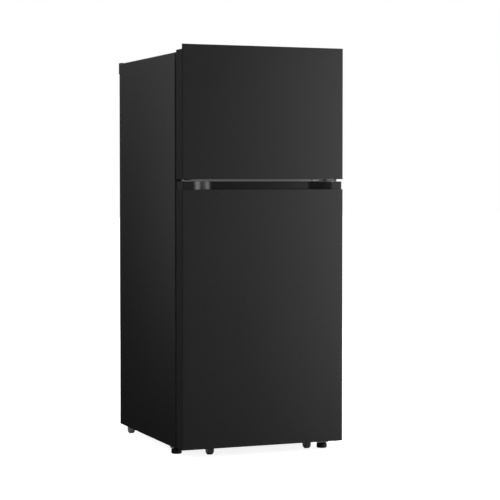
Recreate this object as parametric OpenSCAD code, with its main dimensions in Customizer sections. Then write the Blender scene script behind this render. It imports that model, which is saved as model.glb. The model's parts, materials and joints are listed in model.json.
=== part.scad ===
/* [Cabinet] */
// Width of the cabinet and of both doors
cabinet_w = 711; // [600:1:860]
// Depth of the cabinet, from its front edge to its back panel
cabinet_d = 745; // [620:1:900]
// Height of the side panels
cabinet_h = 1614; // [1340:1:1940]
// Height of the side panels' lower edge above the floor
floor_gap = 38; // [32:1:46]
// Thickness of the folded sheet steel
sheet_t = 0.8; // [0.6:0.1:1.0]
// Thickness of the base plate and the rails
plate_t = 1.2; // [1:0.1:1.6]
// Outside radius of the folded edges
edge_r = 3; // [2:0.5:4]
// Width of the cabinet's front flanges
flange_w = 30; // [26:1:34]
// Thickness of the moulded liners
liner_t = 2; // [1.5:0.1:2.5]

/* [Insulation] */
// Wall beside the fridge compartment
fridge_wall = 48; // [42:1:56]
// Wall beside the freezer
freezer_wall = 60; // [54:1:70]
// Roof above the freezer
roof_wall = 62; // [54:1:74]
// Floor under the fridge compartment
floor_wall = 62; // [56:1:74]
// Wall behind both compartments
back_wall = 50; // [44:1:60]
// Inside height of the freezer
freezer_h = 428; // [400:1:480]
// Thickness of the divider between the compartments
divider_t = 58; // [54:1:66]

/* [Doors] */
// Thickness of a door without its gasket
door_t = 74; // [66:1:84]
// Space between a door and the cabinet
seal_gap = 16; // [14:1:20]
// Space between the two doors
door_gap = 9; // [8:0.5:12]
// Height of the lower door's bottom above the side panels' lower edge
door_lift = 4; // [4:0.5:8]
// Height of the upper door's sides above the cabinet
door_rise = 8; // [7:0.5:12]
// Height of the front lip above the upper door's sides
lip_h = 20; // [16:1:24]
// Width of a gasket
gasket_w = 22; // [18:1:24]
// Distance from a door's side to its gasket
gasket_inset = 19; // [19:1:22]
// Thickness of a moulded door cap
cap_t = 3; // [2.5:0.1:4]

/* [Grip] */
// Height of the grip band above the lower door's steel
band_h = 33; // [28:1:40]
// Set-back of the band behind the doors' front
band_back = 6; // [4:0.5:8]
// Set-in of the band at each side
band_side = 3; // [2:0.5:5]
// Depth of the scoop
scoop_depth = 36; // [30:1:40]
// Radius of the hollow part of the scoop's ends
scoop_r = 72; // [64:1:84]
// Radius of the round entry to the scoop's ends
entry_r = 66; // [56:1:76]
// Distance from the scoop's straight part to each side
scoop_margin = 141; // [130:1:160]
// Depth of the finger pocket below the band
grip_drop = 35; // [28:1:45]

/* [Door linings] */
// Width of the upright ridges that carry the bins
ridge_w = 30; // [24:1:36]
// Depth of the ridges on the lower door
fridge_ridge_d = 70; // [60:1:76]
// Depth of the ridges on the upper door
freezer_ridge_d = 60; // [50:1:66]
// Side clearance between a ridge and the compartment's wall
ridge_clear = 15; // [13:1:20]
// How far the bins reach behind the door's back face
bin_d = 98; // [80:1:102]
// Wall of a bin or drawer
bin_t = 2.5; // [2:0.1:3.5]

/* [Hinges] */
// Distance of the hinge axis from the doors' right side
hinge_side = 18; // [18:0.5:20]
// Distance of the hinge axis behind the doors' front
hinge_back = 36; // [34:0.5:38]
// Radius of the hinge pins
pin_r = 6; // [5:0.5:7]
// Radial clearance of pins, axles and shafts
run_fit = 0.1; // [0.05:0.01:0.1]
// Thickness of the hinge plates
hinge_t = 4; // [3:0.5:4]
// Radius of the hinge arms' round noses
nose_r = 14; // [13:0.5:15]

/* [Inside] */
// Clearance between a body that slides and what it slides on
slide_gap = 0.3; // [0.3:0.1:0.6]
// Distance from the cabinet's front edge to the shelves
shelf_back = 102; // [100:1:120]
// Distance from the cabinet's front edge to the drawers
drawer_back = 112; // [108:1:130]
// Thickness of the shelf glass
glass_t = 4; // [3:0.5:5]
// Height of a shelf frame
frame_h = 14; // [12:1:16]
// Height of the freezer shelf above the freezer's floor
wire_level = 206; // [180:1:220]
// Height of the chill tray
chill_h = 90; // [70:1:110]
// Height of the ice bin
ice_bin_h = 92; // [70:1:96]
// Width of the evaporator chamber behind the freezer
chamber_d = 75; // [70:1:85]

/* [Machine compartment] */
// Depth of the machine compartment
machine_d = 223; // [205:1:240]
// Height of the machine compartment
machine_h = 262; // [250:1:300]
// Insulation between the machine compartment and each side panel
machine_side = 20; // [14:1:24]
// Radius of the compressor
compressor_r = 82; // [70:1:86]
// Height of the compressor's shell
compressor_h = 170; // [150:1:180]

/* [Feet and rollers] */
// Radius of a foot's pad
foot_r = 21.5; // [18:0.5:24]
// Height of a foot's pad
foot_h = 20; // [14:1:22]
// Radius of a foot's threaded stem
stem_r = 5; // [4:0.5:6]
// Radius of a front roller
front_roller_r = 17; // [15:0.5:17.5]
// Radius of a rear roller
rear_roller_r = 18; // [16:0.5:18]
// Width of a roller
roller_w = 24; // [18:1:28]
// Radius of a roller's axle
axle_r = 4; // [3:0.5:5]

/* [Hidden] */
$fn = 64;
over = 1;                                    // how far a cut runs past a face

// depths, measured back from the doors' front plane
half_w = cabinet_w / 2;
cab_front = door_t + seal_gap;
cab_back = cab_front + cabinet_d;
trim_back = 9;
overall_d = cab_back + trim_back;
skin_half = half_w - sheet_t;
flange_x = half_w - flange_w;

// levels above the floor
cab_top = floor_gap + cabinet_h;
base_top = floor_gap + plate_t;
freezer_top = cab_top - roof_wall;
freezer_floor = freezer_top - freezer_h;
fridge_top = freezer_floor - divider_t;
fridge_floor = floor_gap + floor_wall;
split_z = (freezer_floor + fridge_top) / 2 - 0.5;
upper_door_z = split_z + door_gap / 2;
upper_door_top = cab_top + door_rise;
lower_door_z = floor_gap + door_lift;
lower_door_top = split_z - door_gap / 2;
lower_skin_top = lower_door_top - band_h;

// compartments
freezer_half = half_w - freezer_wall;
fridge_half = half_w - fridge_wall;
freezer_back = cab_back - freezer_wall;
fridge_back = cab_back - back_wall;
machine_front = cab_back - machine_d;
machine_top = floor_gap + machine_h;
machine_half = skin_half - machine_side;
step_y = machine_front - back_wall - liner_t;
step_z = machine_top + back_wall + liner_t;
base_flange_top = fridge_floor - liner_t - 28;
cover_y = freezer_back - chamber_d;

// hinge line
hinge_x = half_w - hinge_side;
pin_bore_r = pin_r + run_fit;
boss_r = pin_r + 5;
pin_h = 18;
boss_h = pin_h + 4;
hinge_drop = 10;                             // how much lower the upper door's cap lies at the hinge
top_plate_z = cab_top + 3;
hinge_zone_x = hinge_x - nose_r - 7.5;       // where the upper door's top steps down
bracket_back = cab_front - 3;

// grip
scoop_half = half_w - scoop_margin;
grip_wall = sheet_t + cap_t;
grip_bottom = lower_skin_top - grip_drop - cap_t;
fill_gap = 0.3;                              // between the foam and the moulded parts around it

// shelves and drawers
shelf_y = cab_front + shelf_back;
drawer_y = cab_front + drawer_back;
duct_d = 22;
shelf_end = fridge_back - duct_d - 3;
frame_drop = frame_h - 6;
cover_level = step_z + frame_drop;
shelf_step = (fridge_top - cover_level) / 3;
shelf_levels = [cover_level, cover_level + shelf_step, cover_level + 2 * shelf_step];
rib_w = 8;
rib_h = 6;
wire_z = freezer_floor + wire_level;
crisper_top = step_z - rib_h - 8;

// door linings
fridge_ridge_out = fridge_half - ridge_clear;
fridge_ridge_in = fridge_ridge_out - ridge_w;
freezer_ridge_out = freezer_half - ridge_clear;
freezer_ridge_in = freezer_ridge_out - ridge_w;
bin_y = door_t + bin_d;
bin_r = 18;                                  // the bins' two corners away from the door
dairy_z = shelf_levels[2] + 24;
dairy_h = 80;
lid_axis_y = door_t + 9;
lid_axis_z = dairy_z + dairy_h + 14;
lid_r = bin_d - 6;

// feet and rollers
foot_left_at = [-half_w + 41, cab_front + 100];
foot_right_at = [half_w - 48, cab_front + 14];
front_roller_x = [-half_w + 155, half_w - 119];
rear_roller_x = [-half_w + 34, half_w - 34];
front_roller_y = cab_front + 12;
rear_roller_y = cab_back - 55;
front_lift = 1;                              // the feet hold the front rollers just off the floor
stem_top = base_top + 21;

// machine compartment
machine_mid = (machine_front + cab_back) / 2;
compressor_at = [half_w - 195, machine_mid];
compressor_z = base_top + 24;
mount_h = 17;
shroud_x = -half_w + 260;
fan_r = 70;
fan_z = base_top + 126;
pan_y = machine_front + 96;
tube_r = 8;
tube_x = -half_w + 245;
tube_y = (fridge_back + liner_t + cab_back) / 2;
trough_y = freezer_back - 36;
tube_turn_z = (freezer_floor + fridge_top) / 2;

// evaporator fan and ice maker
blower_r = 54;
blower_z = freezer_top - 88;
blower_y = freezer_back - 44;
ice_x = [-freezer_half + 12, -freezer_half + 232];
ice_axis_y = cab_front + 262;
ice_axis_z = freezer_top - 60;
ice_half = 44;
ice_drop = 28;
shaft_r = 5;
dial_x = 95;
dial_y = cab_front + 112;
dial_z = fridge_top - 19;

module placed() { translate([0, -overall_d / 2, 0]) children(); }

module slab(x0, x1, y0, y1, z0, z1) {
    translate([x0, y0, z0]) cube([x1 - x0, y1 - y0, z1 - z0]);
}

module across(half, y0, y1, z0, z1) { slab(-half, half, y0, y1, z0, z1); }

module along_y(y0, y1) { translate([0, y1, 0]) rotate([90, 0, 0]) linear_extrude(y1 - y0) children(); }

module up(z0, z1) { translate([0, 0, z0]) linear_extrude(z1 - z0) children(); }

module rod(x, y, z0, z1, r) { translate([x, y, z0]) cylinder(h = z1 - z0, r = r); }

module rod_x(x0, x1, y, z, r) { translate([x0, y, z]) rotate([0, 90, 0]) cylinder(h = x1 - x0, r = r); }

module rod_y(x, y0, y1, z, r) { translate([x, y0, z]) rotate([-90, 0, 0]) cylinder(h = y1 - y0, r = r); }

// a rectangle with the two corners at its far edge rounded
module round_far(half, near, far, r) {
    translate([-half, near]) square([2 * half, far - r - near]);
    translate([-half + r, far - r - 0.01]) square([2 * (half - r), r + 0.01]);
    for (side = [-1, 1]) translate([side * (half - r), far - r]) circle(r);
}

// a door's plan, with its two front corners rounded
module door_plan(half, front, back, r) { mirror([0, 1]) round_far(half, -back, -front, r); }

// the cabinet's front view, with its two top corners rounded
module cabinet_view(inset, z0) {
    round_far(half_w - inset, z0, cab_top - inset, edge_r - inset);
}

module tub(half, y0, y1, z0, z1, r, wall) {
    difference() {
        up(z0, z1) round_far(half, y0, y1, r);
        up(z0 + wall, z1 + over) round_far(half - wall, y0 + wall, y1 - wall, r - wall);
    }
}

// compartments, grown by g on every closed side
module freezer_space(g, front) {
    across(freezer_half + g, front, freezer_back + g, freezer_floor - g, freezer_top + g);
}

module fridge_space(g, front) {
    across(fridge_half + g, front, step_y + g, fridge_floor - g, fridge_top + g);
    across(fridge_half + g, front, fridge_back + g, step_z - g, fridge_top + g);
}

module drain_path(r) {
    rod(tube_x, trough_y, tube_turn_z, freezer_floor + 6, r);
    rod_y(tube_x, trough_y, tube_y, tube_turn_z, r);
    rod(tube_x, tube_y, machine_top - 220, tube_turn_z, r);
    for (y = [trough_y, tube_y]) translate([tube_x, y, tube_turn_z]) sphere(r);
}

module foot_holes(r, z0, z1) {
    for (at = [foot_left_at, foot_right_at]) rod(at[0], at[1], z0, z1, r);
}

// where the hinge screws go: [x, y] in the roof, and x in the mullion rail and in the base rail
top_screws = [[hinge_x - 54, cab_front + 30], [hinge_x - 4, cab_front + 40], [hinge_x - 30, cab_front + 78]];
middle_screws = [hinge_x - 78, hinge_x - 62];
bottom_screws = [hinge_x - 72, hinge_x - 54, hinge_x + 2];
bottom_screw_z = floor_gap + 11;
screw_hole_r = 2.8;
screw_depth = 14;

module hinge_holes(r, depth) {
    for (at = top_screws) rod(at[0], at[1], cab_top - depth, cab_top + 8, r);
    for (x = middle_screws) rod_y(x, bracket_back - over, cab_front + depth, split_z, r);
    for (x = bottom_screws) rod_y(x, bracket_back - over, cab_front + depth, bottom_screw_z, r);
}

module outer_wrapper() {
    color("#3a3b3e") difference() {
        along_y(cab_front, cab_back) cabinet_view(0, floor_gap);
        along_y(cab_front + sheet_t, cab_back + over) cabinet_view(sheet_t, floor_gap - over);
        across(flange_x, cab_front - over, cab_front + 2, floor_gap - over, cab_top - flange_w);
        hinge_holes(screw_hole_r, screw_depth);
    }
}

module back_panel() {
    color("#6d6f72") difference() {
        union() {
            along_y(cab_back - sheet_t, cab_back) cabinet_view(sheet_t, machine_top - sheet_t);
            for (side = [-1, 1]) mirror([side < 0 ? 1 : 0, 0, 0])
                slab(machine_half, skin_half, cab_back - sheet_t, cab_back, base_top, machine_top);
            across(machine_half, machine_front - sheet_t, cab_back, machine_top - sheet_t, machine_top);
            across(machine_half, machine_front - sheet_t, machine_front, base_top, machine_top);
        }
        rod(tube_x, tube_y, machine_top - 5, machine_top + 5, tube_r + 0.3);
    }
}

module cabinet_foam() {
    color("#d9c88a") difference() {
        along_y(cab_front + liner_t, cab_back - sheet_t) cabinet_view(sheet_t, base_top);
        freezer_space(liner_t, cab_front);
        fridge_space(liner_t, cab_front);
        across(machine_half, machine_front - sheet_t, cab_back, base_top - over, machine_top);
        drain_path(tube_r + 0.3);
        foot_holes(stem_r + 3, base_top - over, stem_top + 4);
        hinge_holes(screw_hole_r, screw_depth);
    }
}

// a ledge on each side wall that carries a shelf's edge
module wall_ribs(half, y0, y1, z) {
    for (side = [-1, 1]) {
        inner = side * (half - rib_w);
        outer = side * half;
        slab(min(inner, outer), max(inner, outer), y0, y1, z - rib_h, z);
    }
}

module freezer_liner() {
    color("#e8eaec") {
        difference() {
            union() {
                freezer_space(liner_t, cab_front);
                across(flange_x, cab_front, cab_front + liner_t, freezer_floor - liner_t, cab_top - flange_w);
            }
            freezer_space(0, cab_front - over);
            rod(tube_x, trough_y, freezer_floor - 9, freezer_floor + 9, tube_r + 0.3);
        }
        wall_ribs(freezer_half, shelf_y, cover_y - 12, wire_z);
    }
}

module fridge_liner() {
    color("#e8eaec") {
        difference() {
            union() {
                fridge_space(liner_t, cab_front);
                across(flange_x, cab_front, cab_front + liner_t, base_flange_top, fridge_top + liner_t);
            }
            fridge_space(0, cab_front - over);
            hinge_holes(screw_hole_r, screw_depth);
        }
        wall_ribs(fridge_half, shelf_y, step_y, shelf_levels[0] - frame_drop);
        for (i = [1, 2]) wall_ribs(fridge_half, shelf_y, shelf_end, shelf_levels[i] - frame_drop);
    }
}

module mullion_rail() {
    color("#9a9c9e") difference() {
        across(flange_x, cab_front, cab_front + plate_t, fridge_top + liner_t, freezer_floor - liner_t);
        hinge_holes(screw_hole_r, screw_depth);
    }
}

module base_plate() {
    color("#55575a") difference() {
        union() {
            across(skin_half, cab_front + sheet_t, cab_back, floor_gap, base_top);
            across(flange_x, cab_front, cab_front + plate_t, floor_gap, base_flange_top);
        }
        foot_holes(stem_r + 3, floor_gap - over, base_top + over);
        hinge_holes(screw_hole_r, screw_depth);
    }
}

module rear_trim() {
    leg_t = 3;
    color("#1d1e20") {
        across(half_w, cab_back - 30, cab_back + trim_back, cab_top, cab_top + leg_t);
        difference() {
            across(half_w, cab_back, cab_back + trim_back, cab_top - 46, cab_top + leg_t);
            across(half_w - 8, cab_back - over, cab_back + trim_back - leg_t, cab_top - 47, cab_top - 4);
        }
    }
}

// two ears under the base plate with the axle between them
module roller_bracket(x, y, z) {
    ear_t = 2;
    reach = roller_w / 2 + 0.8;
    for (side = [-1, 1]) {
        low = x + (side < 0 ? -reach - ear_t : reach);
        slab(low, low + ear_t, y - 11, y + 11, z, floor_gap);
        rod_x(low, low + ear_t, y, z, 11);
    }
    rod_x(x - reach, x + reach, y, z, axle_r);
}

module leg_brackets() {
    block_half = 24;
    block_z = foot_h + 3;
    color("#a8abae") {
        for (x = front_roller_x) roller_bracket(x, front_roller_y, front_roller_r + front_lift);
        for (x = rear_roller_x) roller_bracket(x, rear_roller_y, rear_roller_r);
        difference() {
            for (at = [foot_left_at, foot_right_at]) translate([at[0] - block_half, at[1] - 13, block_z])
                cube([2 * block_half, 26, floor_gap - block_z]);
            foot_holes(stem_r + run_fit, block_z - over, floor_gap + over);
        }
    }
}

// a pad with bevelled rims on a threaded stem
module foot(at) {
    rim = 2;
    color("#1b1b1c") translate([at[0], at[1], 0]) {
        cylinder(h = rim, r1 = foot_r - rim, r2 = foot_r);
        translate([0, 0, rim]) cylinder(h = foot_h - 2 * rim, r = foot_r);
        translate([0, 0, foot_h - rim]) cylinder(h = rim, r1 = foot_r, r2 = foot_r - rim);
        translate([0, 0, foot_h - over]) cylinder(h = stem_top - foot_h + over, r = stem_r);
    }
}

module foot_left() { foot(foot_left_at); }

module foot_right() { foot(foot_right_at); }

module roller_pair(places, y, r, lift) {
    half = roller_w / 2;
    bevel = 3;
    color("#232426") for (x = places) translate([x, y, r + lift]) rotate([0, 90, 0])
        rotate_extrude() polygon([
            [axle_r + run_fit, -half], [r - bevel, -half], [r, bevel - half],
            [r, half - bevel], [r - bevel, half], [axle_r + run_fit, half]
        ]);
}

module front_rollers() { roller_pair(front_roller_x, front_roller_y, front_roller_r, front_lift); }

module rear_rollers() { roller_pair(rear_roller_x, rear_roller_y, rear_roller_r, 0); }

module top_hinge() {
    plate_reach = 66;
    plate_front = cab_front + 8;
    color("#b4b7ba") {
        difference() {
            up(cab_top, top_plate_z) {
                translate([hinge_x, hinge_back]) circle(nose_r);
                translate([hinge_x - nose_r, hinge_back]) square([2 * nose_r, plate_front + 4 - hinge_back]);
                translate([hinge_x - plate_reach, plate_front]) square([plate_reach + nose_r, 84]);
            }
            hinge_holes(screw_hole_r, screw_depth);
        }
        rod(hinge_x, hinge_back, cap_top_z - hinge_drop - pin_h, top_plate_z, pin_r);
    }
}

module top_hinge_cover() {
    wall = 2;
    left = hinge_x - 74;
    right = half_w - 2;
    front = cab_front + 3;
    back = front + 96;
    top = cab_top + 24;
    nose_z = upper_door_top + 2;
    nose = 24;
    color("#1d1e20") difference() {
        union() {
            slab(left, right, front, back, cab_top, top);
            up(nose_z, top) intersection() {
                union() {
                    translate([hinge_x, hinge_back]) circle(nose);
                    translate([hinge_x - nose, hinge_back]) square([2 * nose, front - hinge_back + over]);
                }
                translate([left, 0]) square([right - left, front + 2 * over]);
            }
        }
        slab(left + wall, right - wall, front + wall, back - wall, cab_top - over, top - wall);
        up(nose_z - over, top - wall) {
            translate([hinge_x, hinge_back]) circle(hinge_side - 2 * wall);
            translate([hinge_x - hinge_side + 2 * wall, hinge_back])
                square([2 * (hinge_side - 2 * wall), front - hinge_back - over]);
        }
        translate([hinge_x - nose_r - 1, front - over, cab_top - over]) cube([2 * nose_r + 1.5, 4, 5]);
    }
}

// a plate from the cabinet's front to a pin, widened into a web on its inner side
module hinge_arm(z0, z1) {
    left = hinge_x - 52;
    up(z0, z1) {
        translate([hinge_x, hinge_back]) circle(nose_r);
        translate([hinge_x - nose_r, hinge_back]) square([2 * nose_r, bracket_back - hinge_back]);
        polygon([
            [left, bracket_back], [left, bracket_back - 8], [hinge_x - nose_r, hinge_back + 12],
            [hinge_x - nose_r + 1, hinge_back + 12], [hinge_x - nose_r + 1, bracket_back]
        ]);
    }
}

module middle_hinge() {
    plate_half = 5.7;
    plate_reach = 86;
    color("#b4b7ba") {
        hinge_arm(split_z - hinge_t / 2, split_z + hinge_t / 2);
        difference() {
            translate([hinge_x - plate_reach, bracket_back, split_z - plate_half])
                cube([plate_reach + nose_r, cab_front - bracket_back, 2 * plate_half]);
            hinge_holes(screw_hole_r, screw_depth);
        }
        rod(hinge_x, hinge_back, lower_door_top - pin_h, upper_door_z + pin_h, pin_r);
        rod(hinge_x, hinge_back, split_z, upper_door_z - slide_gap, boss_r - 1);
    }
}

// its arm lies just under the lower door
module bottom_hinge() {
    arm_z = lower_door_z - 1 - hinge_t;
    color("#b4b7ba") {
        hinge_arm(arm_z, arm_z + hinge_t);
        difference() {
            slab(hinge_x - 80, hinge_x + nose_r, bracket_back, cab_front, arm_z, floor_gap + 18);
            hinge_holes(screw_hole_r, screw_depth);
        }
        rod(hinge_x, hinge_back, arm_z, lower_door_z + pin_h, pin_r);
        rod(hinge_x, hinge_back, arm_z, lower_door_z - slide_gap, boss_r - 1);
    }
}

module hinge_screws() {
    head_r = 4.8;
    head_h = 3;
    shank_r = 2.5;
    color("#8f9295") {
        for (at = top_screws) {
            rod(at[0], at[1], top_plate_z, top_plate_z + head_h, head_r);
            rod(at[0], at[1], cab_top + 1 - screw_depth, top_plate_z + 1, shank_r);
        }
        for (x = middle_screws) {
            rod_y(x, bracket_back - head_h, bracket_back, split_z, head_r);
            rod_y(x, bracket_back - 1, cab_front - 1 + screw_depth, split_z, shank_r);
        }
        for (x = bottom_screws) {
            rod_y(x, bracket_back - head_h, bracket_back, bottom_screw_z, head_r);
            rod_y(x, bracket_back - 1, cab_front - 1 + screw_depth, bottom_screw_z, shank_r);
        }
    }
}

// the four bolts that hold the compressor's foot plate
mount_x = compressor_r - 12;
mount_y = 62;

module at_mounts() {
    for (x = [-mount_x, mount_x], y = [-mount_y, mount_y])
        translate([compressor_at[0] + x, compressor_at[1] + y, base_top]) children();
}

module compressor() {
    dome_r = 40;
    plate_z = base_top + mount_h;
    color("#17181a") {
        translate([compressor_at[0], compressor_at[1], compressor_z]) {
            rotate_extrude() {
                square([compressor_r - dome_r, compressor_h]);
                translate([0, dome_r]) square([compressor_r, compressor_h - 2 * dome_r]);
                for (z = [dome_r, compressor_h - dome_r])
                    translate([compressor_r - dome_r, z]) circle(dome_r);
            }
            translate([0, 0, compressor_h * 0.52]) cylinder(h = 4, r = compressor_r + 4);
            translate([compressor_r - 8, -22, 60]) cube([26, 44, 52]);
            for (y = [-38, 0, 38]) rod_x(-compressor_r - 24, 20 - compressor_r, y, compressor_h * 0.4, 4);
        }
        difference() {
            translate([compressor_at[0], compressor_at[1], 0])
                across(compressor_r + 6, -mount_y - 16, mount_y + 16, plate_z, plate_z + 3);
            at_mounts() cylinder(h = mount_h + 10, r = 5.3);
        }
        rod(compressor_at[0], compressor_at[1], plate_z + 1, compressor_z + 12, compressor_r - dome_r);
    }
}

module compressor_mounts() {
    color("#202022") at_mounts() {
        difference() {
            cylinder(h = mount_h, r = 12);
            translate([0, 0, 6]) difference() {
                cylinder(h = 4, r = 13);
                translate([0, 0, -over]) cylinder(h = 6, r = 9.5);
            }
        }
        cylinder(h = mount_h + 7, r = 5);
    }
}

module condenser_coil() {
    passes = 9;
    rise = 21;
    bend_r = rise / 2;
    pipe_r = 3;
    x0 = -half_w + 48;
    x1 = shroud_x - 40;
    y = machine_front + 62;
    z0 = base_top + 26;
    color("#26272a") {
        for (i = [0 : passes - 1]) rod_x(x0, x1, y, z0 + i * rise, pipe_r);
        for (i = [0 : passes - 2])
            translate([i % 2 == 0 ? x1 : x0, y, z0 + i * rise + bend_r])
                rotate([90, 0, 0]) rotate([0, 0, i % 2 == 0 ? -90 : 90])
                    rotate_extrude(angle = 180) translate([bend_r, 0]) circle(pipe_r);
        for (x = [x0 + 14 : (x1 - x0 - 28) / 5 : x1 - 13])
            slab(x - 0.6, x + 0.6, y - 24, y + 24, base_top, z0 + (passes - 1) * rise + 12);
    }
}

module condenser_fan_mount() {
    sheet = 3;
    motor_r = 24;
    post_x = shroud_x + 36;
    color("#2a2b2d") {
        difference() {
            slab(shroud_x, shroud_x + sheet, machine_mid - 96, machine_mid + 96, base_top, base_top + 218);
            rod_x(shroud_x - over, shroud_x + sheet + over, machine_mid, fan_z, fan_r + 4);
        }
        rod_x(post_x, post_x + 34, machine_mid, fan_z, motor_r);
        rod_x(shroud_x + 8, post_x + 2, machine_mid, fan_z, 3);
        slab(post_x + 6, post_x + 26, machine_mid - 11, machine_mid + 11, base_top, fan_z);
        slab(shroud_x, post_x + 26, machine_mid - 30, machine_mid + 30, base_top, base_top + sheet);
    }
}

// a hub with flat blades set at an angle, turning about Z
module impeller(r, hub_r, depth, blades) {
    bore_r = 3 + run_fit;
    difference() {
        union() {
            cylinder(h = depth, r = hub_r);
            for (i = [0 : blades - 1]) rotate([0, 0, i * 360 / blades])
                translate([hub_r - 3, 0, depth / 2]) rotate([32, 0, 0])
                    translate([0, -r * 0.3, -0.9]) cube([r - hub_r, r * 0.6, 1.8]);
        }
        translate([0, 0, -over]) cylinder(h = depth + 2 * over, r = bore_r);
    }
}

module condenser_fan() {
    color("#3c3e41") translate([shroud_x + 10, machine_mid, fan_z])
        rotate([0, 90, 0]) impeller(fan_r, 20, 22, 7);
}

module drain_pan() {
    color("#8c8f92") difference() {
        slab(-half_w + 24, shroud_x - 6, pan_y, cab_back - 10, base_top, base_top + 38);
        slab(-half_w + 26, shroud_x - 8, pan_y + 2, cab_back - 12, base_top + 2, base_top + 40);
    }
}

module drain_tube() {
    bore_r = tube_r - 1.5;
    color("#c9ccd0") difference() {
        union() {
            drain_path(tube_r);
            across(freezer_half - 55, trough_y - 28, trough_y + 28, freezer_floor, freezer_floor + 20);
        }
        across(freezer_half - 57, trough_y - 26, trough_y + 26, freezer_floor + 2, freezer_floor + 21);
        rod(tube_x, trough_y, tube_turn_z, freezer_floor + 9, bore_r);
        rod_y(tube_x, trough_y, tube_y, tube_turn_z, bore_r);
        rod(tube_x, tube_y, machine_top - 221, tube_turn_z, bore_r);
    }
}

// the mains lead's gland, with a blind bore of the lead's size
inlet_at = [half_w - 100, floor_gap + 46];
inlet_bore_r = 3.8;
inlet_neck_r = 8.7;
inlet_floor = cab_back - 4;

module machine_cover() {
    slots = 11;
    pitch = 24;
    color("#7c7e81") difference() {
        across(machine_half, cab_back - plate_t, cab_back, base_top, machine_top - sheet_t);
        for (side = [-1, 1], i = [0 : slots - 1], row = [0, 1])
            translate([side * (half_w - 62 - i * pitch), cab_back - 2, base_top + 84 * (row + 1)])
                cube([7, 4, 66]);
        rod_y(inlet_at[0], cab_back - 3, cab_back + 1, inlet_at[1], inlet_neck_r + fill_gap);
    }
}

module power_inlet() {
    color("#202022") difference() {
        union() {
            rod_y(inlet_at[0], cab_back, cab_back + 3, inlet_at[1], inlet_neck_r + 5);
            rod_y(inlet_at[0], inlet_floor - 2, cab_back + 8, inlet_at[1], inlet_neck_r);
        }
        rod_y(inlet_at[0], inlet_floor, cab_back + 9, inlet_at[1], inlet_bore_r);
    }
}

module evaporator() {
    fins = 18;
    rows = 4;
    half = freezer_half - 60;
    z0 = freezer_floor + 55;
    height = 170;
    y0 = freezer_back - 62;
    fin_d = 52;
    color("#c5c8cb") {
        for (i = [0 : fins - 1]) {
            x = -half + i * 2 * half / (fins - 1);
            slab(x - 0.5, x + 0.5, y0, y0 + fin_d, z0, z0 + height);
        }
        for (x = [-half, half]) slab(x - 1.5, x + 1.5, y0, freezer_back, z0 - 12, z0 + height);
        for (row = [0 : rows - 1], y = [y0 + 14, y0 + 38])
            rod_x(-half - 8, half + 8, y, z0 + 22 + row * 42, 4);
    }
}

module defrost_heater() {
    half = freezer_half - 62;
    z = freezer_floor + 37.7;
    color("#a05a3c") for (y = [freezer_back - 48, freezer_back - 24]) {
        rod_x(-half, half, y, z, 4);
        for (side = [-1, 1]) rod(side * (half - 4), y, z, freezer_floor + 43, 4);
    }
}

module evaporator_fan_mount() {
    color("#d8dadc") {
        slab(-62, 62, freezer_back - 4, freezer_back, blower_z - 40, blower_z + 40);
        rod_y(0, freezer_back - 24, freezer_back - 3, blower_z, 24);
        rod_y(0, blower_y - 12, freezer_back - 20, blower_z, 3);
    }
}

module evaporator_fan() {
    color("#e6e8ea") translate([0, blower_y - 10, blower_z])
        rotate([-90, 0, 0]) impeller(blower_r, 17, 18, 5);
}

module freezer_back_cover() {
    panel_t = 2.5;
    frame_half = 96;
    color("#eceef0") difference() {
        union() {
            across(freezer_half - 0.5, cover_y, cover_y + panel_t, freezer_floor, freezer_top);
            for (side = [-1, 1]) translate([side * frame_half - 2, cover_y - 5, freezer_floor + 60])
                cube([4, 5, freezer_h - 230]);
            across(frame_half + 2, cover_y - 5, cover_y, freezer_top - 172, freezer_top - 168);
        }
        for (side = [-1, 1], i = [0 : 5], row = [0, 1])
            translate([side * (44 + i * 34) - 12, cover_y - over, freezer_top - 48 - row * 22])
                cube([24, 5, 10]);
        for (i = [-7 : 7])
            translate([i * 34 - 12, cover_y - over, freezer_floor + 18]) cube([24, 5, 12]);
        for (i = [-4 : 4])
            translate([i * 10 - 2.5, cover_y - over, blower_z - 34]) cube([5, 5, 68]);
    }
}

rim_r = 2.6;
wire_r = 1.6;
shelf_top = wire_z + 2 * rim_r + 0.1;

module freezer_shelf() {
    y0 = shelf_y + 4;
    y1 = cover_y - 14;
    half = freezer_half - 3.2;
    z = wire_z + rim_r;
    gaps = 22;
    color("#f2f3f4") {
        for (y = [y0, (y0 + y1) / 2, y1]) rod_x(-half, half, y, z, rim_r);
        for (side = [-1, 1]) rod_y(side * half, y0, y1, z, rim_r);
        for (i = [1 : gaps - 1]) rod_y(-half + i * 2 * half / gaps, y0, y1, z + 1, wire_r);
        for (side = [-1, 1], y = [y0, y1]) translate([side * half, y, z]) sphere(rim_r);
    }
}

module ice_maker_frame() {
    side_t = 2.5;
    front = ice_axis_y - 52;
    back = ice_axis_y + 60;
    low_z = ice_axis_z - 22;
    color("#dfe3e8") difference() {
        union() {
            slab(ice_x[0], ice_x[1], front, back, freezer_top - side_t, freezer_top);
            for (x = [ice_x[0], ice_x[1] - side_t]) slab(x, x + side_t, front, back, low_z, freezer_top);
            slab(ice_x[0], ice_x[1], back - 3, back, low_z, freezer_top);
        }
        rod_x(ice_x[0] - over, ice_x[1] + over, ice_axis_y, ice_axis_z, shaft_r + run_fit);
    }
}

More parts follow.
